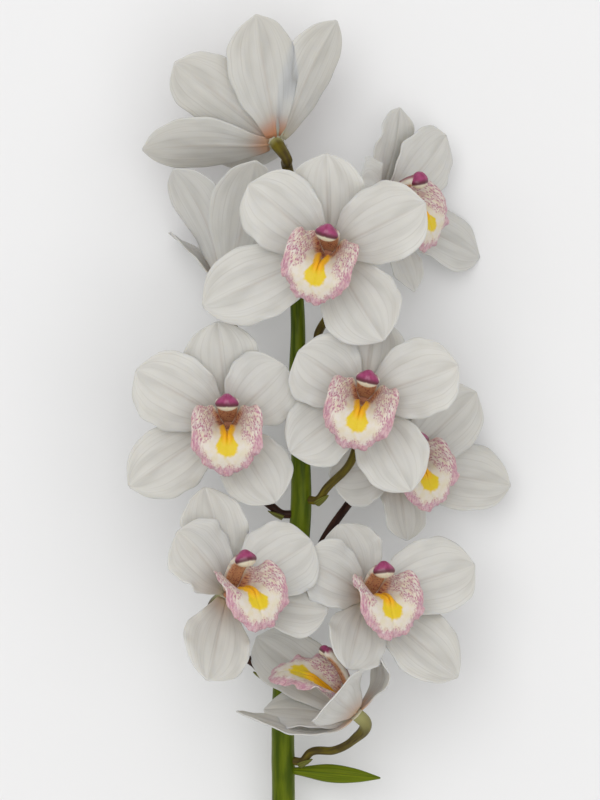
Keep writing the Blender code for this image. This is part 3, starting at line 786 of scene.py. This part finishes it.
def green_look(name, light, dark, lengthwise):
    """Fresh green with lengthwise streaks, faint blotches and a pale cut face."""
    look = Look(name, Subsurface_Weight=0.08, Subsurface_Radius=(0.3, 1.0, 0.15), Subsurface_Scale=0.002,
                Specular_IOR_Level=0.1)
    streaks = look.noise((lengthwise, 0.35), 1.0, 4)
    blotch = look.solid_noise(60, 3)
    colour = look.mix(look.step(0.35, 0.68, streaks), light, dark)
    colour = look.mix(look.step(0.45, 0.75, blotch, (0, 0.45)), colour, dark)
    pores = look.node("TexVoronoi", {"Vector": look.node("TexCoord").outputs["Object"], "Scale": 900.0})
    face = look.mix(look.step(0.30, 0.15, pores.outputs["Distance"]), CUT_PALE, CUT_DARK)
    colour = look.mix(look.mask("cut"), colour, face)
    normal = look.bump(look.solid_noise(700, 2), 0.0001, 0.35, look.bump(streaks, 0.0003, 0.4))
    return look.finish(colour, normal, look.step(0.2, 0.8, blotch, (0.34, 0.5)))


def stalk_look(name, light, dark):
    """Olive to maroon, flushed along its length, greener at the ovary."""
    look = Look(name, Subsurface_Weight=0.05, Subsurface_Radius=(1.0, 0.6, 0.3), Subsurface_Scale=0.001,
                Specular_IOR_Level=0.1)
    streaks = look.noise((7, 0.5), 1.0, 4)
    blotch = look.solid_noise(90, 3)
    colour = look.mix(look.step(0.35, 0.7, streaks), light, dark)
    colour = look.mix(look.step(0.4, 0.7, blotch, (0, 0.6)), colour, dark)
    colour = look.mix(look.step(0.80, 0.99, look.mask("run"), (0, 0.85)), colour, OVARY_TOP)
    normal = look.bump(look.solid_noise(700, 2), 0.0001, 0.35, look.bump(streaks, 0.0003, 0.4))
    return look.finish(colour, normal, look.step(0.2, 0.8, blotch, (0.36, 0.5)))


# Pieces of a flower

def blade_detail(number, name, shape, frame, centre):
    """A sepal or petal as a fine sheet with a keeled midrib, soft folds and a slightly wavy edge."""
    random = np.random.RandomState(100 * number + len(name) * 7 + ord(name[-1]))
    phase, folds, curl = random.uniform(0, 1, 3)
    along = np.linspace(0, 1, BLADE_CELLS[0] + 1) ** 0.92
    over = np.linspace(-1, 1, BLADE_CELLS[1] + 1)
    u, v = np.meshgrid(along, over, indexing="ij")
    reach = np.abs(v)
    drawn_in = 0.5 + 0.3 * np.sin(2 * math.pi * (1.3 * u + curl + 0.2 * np.sign(v)))
    drawn_in += 0.2 * np.sin(2 * math.pi * (4.1 * u + folds + 0.3 * np.sign(v)))
    points = blade_points(u, v * (1 - DRAWN_IN * drawn_in * reach**2), shape)
    half = half_width(shape, u)
    body = np.sin(math.pi * np.clip(u, 0, 1)) ** 0.7
    lift = FOLD * body * np.cos(2 * math.pi * (1.6 * v + 0.35 * np.sin(3 * u + 6 * folds)))
    lift += WAVE * reach**3 * body * np.sin(2 * math.pi * (1.7 * u + phase + 0.25 * np.sign(v)))
    lift += 0.3 * WAVE * reach**6 * body * np.sin(2 * math.pi * (4.6 * u + folds + 0.4 * np.sign(v)))
    lift -= ROLL * reach**5 * body * (0.5 + curl)
    lift *= STEADY.get(number, 1.0)
    lift -= KEEL * np.exp(-((v / 0.06) ** 2)) * (1 - u) ** 0.4
    points = points + out_of(points) * lift[..., None]
    thickness = SHEET * (1.25 - 0.35 * u) * (1 - 0.5 * reach**5)
    from_base = u * shape["length"] + 0.5 * half * reach
    masks = dict(
        rib=np.exp(-((v / 0.035) ** 2)) * smoothstep(1.0, 0.45, u),
        edge=smoothstep(0.86, 1.0, reach) + smoothstep(0.96, 1.0, u),
        base=0.7 * smoothstep(8.0, 1.5, from_base),
        # Painted shade, strongest at the blade's base and gone 24 mm out from it
        warm=smoothstep(24.0, 3.0, from_base),
        peach=PEACH_OF.get((number, name), 0.0) * smoothstep(15, 1, from_base),
    )
    uv = np.stack([0.5 + 0.5 * v, u * shape["length"] / BLADE_PLACES], -1)
    return sheet_part(points @ frame.T + centre, thickness, uv, masks)


def boss_part(frame, centre, low, high, radius, flush):
    """The small dome where a flower's blades meet."""
    rows, columns = 7, 24
    count = rows * columns
    tilt, turn = globe_grid(rows, columns)
    middle, half = (low + high) / 2, (high - low) / 2
    flat = radius * np.cos(tilt)
    points = np.stack([flat * np.cos(turn), flat * np.sin(turn), middle + half * np.sin(tilt)], -1)
    faces = ring_faces(np.arange(count).reshape(rows, columns))
    masks = dict(base=np.full(count, 0.75), peach=np.full(count, flush))
    return points.reshape(-1, 3) @ frame.T + centre, faces, np.zeros((count, 2)), masks


def lip_part(number, shape, frame, centre):
    """The lip: a trough with flaring sides, a ruffled rim and two ridges that join toward the middle lobe."""
    phase = np.random.RandomState(number).uniform(0, 1)
    across = np.linspace(-1, 1, LIP_CELLS[1] + 1)
    u, v = np.meshgrid(np.linspace(0, 1, LIP_CELLS[0] + 1), across, indexing="ij")
    points = blade_points(u, v, shape)
    reach = np.abs(v)
    half = half_width(shape, u)
    from_rim = np.minimum(half * (1 - reach), (1 - u) * shape["length"] * 0.9)
    rim = smoothstep(6.0, 0.0, from_rim) * smoothstep(0.15, 0.4, u)
    turn = np.arctan2(v * half, (u - 0.55) * shape["length"])
    ruffle = 0.75 * np.sin(9 * turn + 6 * phase) + 0.38 * np.sin(23 * turn + 11 * phase)
    ruffle += 0.2 * np.sin(41 * turn)
    lift = rim**1.5 * ruffle * LIP_RUFFLE
    apart = np.interp(u, [0.1, 0.32, 0.48, 0.6], [3.0, 3.0, 1.5, 1.2])
    ridge = np.exp(-(((reach * half - apart) / 1.35) ** 2))
    ridge = ridge * smoothstep(0.08, 0.3, u) * smoothstep(0.64, 0.5, u)
    groove = np.exp(-((v * half / 0.8) ** 2)) * smoothstep(0.5, 0.7, u)
    lift += LIP_RIDGE * ridge - LIP_GROOVE * groove
    points = points + out_of(points) * lift[..., None]
    middle_lobe = smoothstep(0.50, 0.66, u)
    speckle = (1 - middle_lobe) * smoothstep(0.30, 0.52, reach)
    speckle = speckle * smoothstep(0.14, 0.27, u + 0.12 * reach - 0.1)
    speckle += middle_lobe * smoothstep(9.0, 4.5, from_rim) * 0.55
    spread = np.interp(u, [0.2, 0.4, 0.5, 0.62, 0.72, 0.84], [5.5, 4.2, 3.2, 6.4, 5.6, 2.0])
    yellow = smoothstep(1.35, 0.35, reach * half / spread)
    yellow = yellow * smoothstep(0.26, 0.40, u) * smoothstep(0.86, 0.62, u)
    masks = dict(
        rim=smoothstep(RIM_WIDE, 0.2, from_rim) * (0.45 + 0.55 * middle_lobe) * smoothstep(0.2, 0.38, u),
        speckle=speckle,
        yellow=yellow,
        keel=np.clip(1.4 * ridge, 0, 1),
        # The throat's tan is partly its own colour and partly painted shade
        throat=smoothstep(0.30, 0.18, u) * smoothstep(1.0, 0.72, reach),
    )
    uv = np.stack([v * half / OTHER_PLACES + 3, u * shape["length"] / OTHER_PLACES], -1)
    thickness = LIP_SHEET * (1 - 0.5 * smoothstep(4, 0, from_rim))
    points, faces, uv, masks = sheet_part(points @ frame.T + centre, thickness, uv, masks)
    masks["back"] = np.repeat([0.0, 1.0], u.size)
    return points, faces, uv, masks


def column_part(length, frame, centre):
    """The arched column, rounded on its back and hollowed underneath."""
    sides, rows = 40, 40
    place = np.linspace(0, 0.97, rows)
    line, lean = column_line(place, length)
    across = np.maximum(smooth_curve(COLUMN_ACROSS, place), np.interp(place, *np.array(COLUMN_FOOT).T))
    through = smooth_curve(COLUMN_THROUGH, place)
    turn = np.linspace(0, 2 * math.pi, sides, endpoint=False)
    side, back = np.cos(turn), np.sin(turn)
    hollow = np.exp(-((side / 0.5) ** 2)) * (back < 0) * 0.45
    depth = back * (1 - hollow)
    backward = np.stack([0 * lean, np.sin(lean), -np.cos(lean)], -1)
    points = (
        line[:, None]
        + (across[:, None] * side)[..., None] * np.array([1.0, 0, 0])
        + (through[:, None] * depth)[..., None] * backward[:, None]
    )
    count = rows * sides
    index = np.arange(count).reshape(rows, sides)
    backs = np.tile(back, (rows, 1))
    places = np.tile(place[:, None], (1, sides))
    masks = dict(
        # The underside's tan is partly its own colour and partly painted shade
        under=smoothstep(-0.20, -0.50, backs) * smoothstep(0.93, 0.84, places),
        ridge=smoothstep(0.35, 0.8, backs) * smoothstep(0.05, 0.25, places) * 0.9,
        flush=smoothstep(0.90, 0.95, places) * smoothstep(-0.3, 0.2, backs),
    )
    masks = {mask: np.append(values.ravel(), [0, 0]) for mask, values in masks.items()}
    round_it = np.tile(turn / (2 * math.pi) * 2.4, (rows, 1))
    uv = np.stack([round_it, places * length / OTHER_PLACES], -1).reshape(-1, 2)
    uv = np.concatenate([uv, np.zeros((2, 2))])
    first, last = index[0], index[-1]
    foot, top = np.full(sides, count), np.full(sides, count + 1)
    low = np.stack([first, np.roll(first, -1), foot, foot], -1)
    high = np.stack([np.roll(last, -1), last, top, top], -1)
    points = np.concatenate([points.reshape(-1, 3), line[[0, -1]]]) @ frame.T + centre
    return points, np.concatenate([ring_faces(index, turned=True), low, high]), uv, masks


def cap_part(number, length, frame, centre):
    """The cap over the column's tip: a blunt wedge, wider at its lower rim, with a cream band below it."""
    rows, columns = 26, 44
    tilt, turn = globe_grid(rows, columns)
    side, up, out = np.cos(tilt) * np.cos(turn), np.sin(tilt), np.cos(tilt) * np.sin(turn)
    narrow = 1 - 0.42 * smoothstep(-0.3, 1.0, up)
    beak = 1 + 0.18 * np.exp(-((side / 0.35) ** 2)) * (out > 0)
    groove = 1 - 0.10 * np.exp(-((side / 0.10) ** 2)) * smoothstep(0.1, 0.6, out)
    across, tall, deep = np.array(CAP_SIZE) * SMALL_CAPS.get(number, 1.0)
    local = np.stack([side * narrow * across, up * tall * groove, out * beak * groove * deep], -1)
    line, lean = column_line(np.array([0.955]), length)
    forward = np.array([0, math.cos(lean[0]), math.sin(lean[0])])
    upward = np.array([0, math.sin(lean[0]), -math.cos(lean[0])])
    axes = np.array([[1.0, 0, 0], upward, forward])
    points = line[0] + local.reshape(-1, 3) @ axes
    faces = ring_faces(np.arange(rows * columns).reshape(rows, columns), turned=True)
    masks = dict(rim=smoothstep(0.25, -0.3, up).ravel(), band=smoothstep(-0.40, -0.50, up).ravel())
    uv = np.stack([turn / math.pi, tilt / math.pi], -1).reshape(-1, 2)
    return points @ frame.T + centre, faces, uv, masks


def scale_part(flower, frame):
    """The small dry scale at a stalk's foot, on its lower side."""
    line, radii = stalk_line(flower, frame, STALK_POINTS)
    foot, further = 4, 12
    start, onward = line[foot], unit(line[further] - line[foot])
    down = square_to(onward, np.array([0.0, -1.0, 0.15]))
    axes = np.array([np.cross(onward, down), onward, down]).T
    shape = dict(
        turn=0, length=8.5, lift=radii[foot] + 0.5, hub=-1.5,
        width=[(0, 3.4), (0.4, 3.0), (0.8, 1.6), (1, 0.3)],
        rise=[(0, 14), (0.5, 4), (1, -6)],
        cup=[(0, -85), (0.5, -70), (1, -40)],
    )
    u, v = np.meshgrid(np.linspace(0, 1, 15), np.linspace(-1, 1, 13), indexing="ij")
    points = blade_points(u, v, shape)
    uv = np.stack([0.5 + 0.5 * v, u], -1)
    return sheet_part(points @ axes.T + start, np.full(u.shape, 0.5), uv, dict(cut=np.zeros(u.shape)))


def make_flower(number, flower, looks):
    frame = flower_axes(*flower["face"])
    centre = np.array(flower["at"])
    tag = f"{number:02d}"
    for group, disc, names, flush in (
        ("sepals", SEPAL_DISC, SEPAL_NAMES, 0.0),
        ("petals", PETAL_DISC, PETAL_NAMES, 0.9),
    ):
        shapes = {name: blade_shape(flower, name, frame) for name in names}
        parts = [blade_detail(number, name, shape, frame, centre) for name, shape in shapes.items()]
        parts.append(boss_part(frame, centre, disc[0] - 0.5, disc[1] + 0.3, disc[2], flush))
        slot = group[:-1]
        mesh_piece(f"{group}_{tag}_fine", *joined(parts), looks[slot], [f"{group}_{tag}"], slot)
    lip = lip_part(number, blade_shape(flower, "lip", frame), frame, centre)
    mesh_piece(f"lip_{tag}_fine", *lip, looks["lip"], [f"lip_{tag}"], "lip")
    length = flower.get("column", COLUMN_LENGTH)
    column = column_part(length, frame, centre)
    mesh_piece(f"column_{tag}_fine", *column, looks["column"], [f"column_{tag}"], "column")
    cap = cap_part(number, length, frame, centre)
    mesh_piece(f"cap_{tag}", *cap, looks["cap"], [f"column_{tag}"], "column")
    line, radii = stalk_line(flower, frame, STALK_POINTS)
    stalk = tube_part(line, radii, 20, 0.03, number)
    look = looks["stalk_dark"] if number in DARK_STALKS else looks["stalk_olive"]
    mesh_piece(f"stalk_{tag}_fine", *stalk, look, [f"stalk_{tag}"], "stalk")
    if number > 1:
        mesh_piece(f"scale_{tag}", *scale_part(flower, frame), looks["scale"], [], "bract")


# The stem and its bract

def make_stem(looks):
    line = route_curve(STEM, 240)
    swell = 1 + 0.03 * np.exp(-((line[:, 1:2] + 185) / 5) ** 2)
    stem = tube_part(line[:, :3], line[:, 3] * swell[:, 0], 48, 0.012)
    mesh_piece("stem_fine", *stem, looks["stem"], ["stem"], "stem")


def make_bract(looks):
    """The leaf-like bract below the lowest stalk."""
    base, tip = np.array(BRACT["base"]), np.array(BRACT["tip"])
    onward = unit(tip - base)
    across = unit(np.cross([0, 0, 1.0], tip - base))
    frame = np.array([across, onward, np.cross(across, onward)]).T
    start = base + onward * (STEM[2][3] + GAP)
    wide = BRACT["half_width"]
    shape = dict(
        turn=0, length=float(np.linalg.norm(tip - start)), lift=0, hub=0,
        width=[(0, 0.5 * wide), (0.35, wide), (0.7, 0.7 * wide), (1, 0.4)],
        rise=[(0, 8), (0.5, 0), (1, -8)],
        cup=[(0, 90), (0.5, 45), (1, 20)],
    )
    u, v = np.meshgrid(np.linspace(-0.03, 1, 48), np.linspace(-1, 1, 25), indexing="ij")
    points = blade_points(np.clip(u, 0, 1), v, shape)
    points[..., 1] += np.minimum(u, 0) * shape["length"]
    points = points - out_of(points) * (0.5 * np.exp(-((v / 0.08) ** 2)))[..., None]
    uv = np.stack([0.5 + 0.5 * v, u * 4], -1)
    part = sheet_part(points @ frame.T + start, 0.8 - 0.3 * np.abs(v) ** 4, uv, dict(cut=np.zeros(u.shape)))
    mesh_piece("bract_fine", *part, looks["bract"], ["bract"], "bract")


# Floor, light and camera

def make_stage():
    mesh = bpy.data.meshes.new("floor")
    corners = [(x * FLOOR_HALF, y * FLOOR_HALF, 0) for x, y in ((-1, -1), (1, -1), (1, 1), (-1, 1))]
    mesh.from_pydata(corners, [], [(0, 1, 2, 3)])
    floor = bpy.data.objects.new("floor", mesh)
    bpy.context.collection.objects.link(floor)
    look = Look("Floor", Specular_IOR_Level=0.1, Roughness=0.95)
    tone = look.mix(look.step(0.3, 0.7, look.solid_noise(3.0)), FLOOR_PALE, FLOOR_DEEP)
    mesh.materials.append(look.finish(tone, look.bump(look.solid_noise(500), 0.0001, 0.1)))


def add_light(name, place, size, power):
    data = bpy.data.lights.new(name, "AREA")
    data.shape = "DISK"
    data.size = size
    data.energy = power
    lamp = bpy.data.objects.new(name, data)
    lamp.location = place
    lamp.rotation_euler = (Vector(LIT_PLACE) - Vector(place)).to_track_quat("-Z", "Y").to_euler()
    lamp.visible_camera = False
    bpy.context.collection.objects.link(lamp)


def make_lights():
    world = bpy.data.worlds.new("Studio")
    world.use_nodes = True
    sky = world.node_tree.nodes["Background"]
    sky.inputs["Color"].default_value = (1.0, 0.995, 0.985, 1)
    sky.inputs["Strength"].default_value = SKY
    bpy.context.scene.world = world
    for name, place, size, power in LIGHTS:
        add_light(name, place, size, power)


def make_camera():
    data = bpy.data.cameras.new("Camera")
    data.lens = LENS
    data.sensor_width = SENSOR
    data.clip_end = 20
    camera = bpy.data.objects.new("Camera", data)
    camera.location = (np.array([0, 0, PLANE + VIEW]) - ORIGIN) * MM
    bpy.context.collection.objects.link(camera)
    bpy.context.scene.camera = camera
    bpy.context.scene.view_settings.view_transform = "Standard"


def main():
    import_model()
    looks = dict(
        sepal=tepal_look("Sepal", SEPAL_WHITE, SEPAL_SHADE),
        petal=tepal_look("Petal", PETAL_WHITE, PETAL_SHADE),
        lip=lip_look(),
        column=column_look(),
        cap=cap_look(),
        stem=green_look("Stem", STEM_LIGHT, STEM_DARK, 9),
        bract=green_look("Bract", BRACT_LIGHT, BRACT_DARK, 16),
        scale=green_look("Scale", SCALE_LIGHT, SCALE_DARK, 12),
        stalk_olive=stalk_look("Stalk olive", OLIVE_LIGHT, OLIVE_DARK),
        stalk_dark=stalk_look("Stalk maroon", STALK_MAROON, STALK_BLACK),
    )
    make_stem(looks)
    make_bract(looks)
    for number, flower in enumerate(FLOWERS, 1):
        make_flower(number, flower, looks)
    make_stage()
    make_lights()
    make_camera()
    bpy.context.view_layer.update()


main()
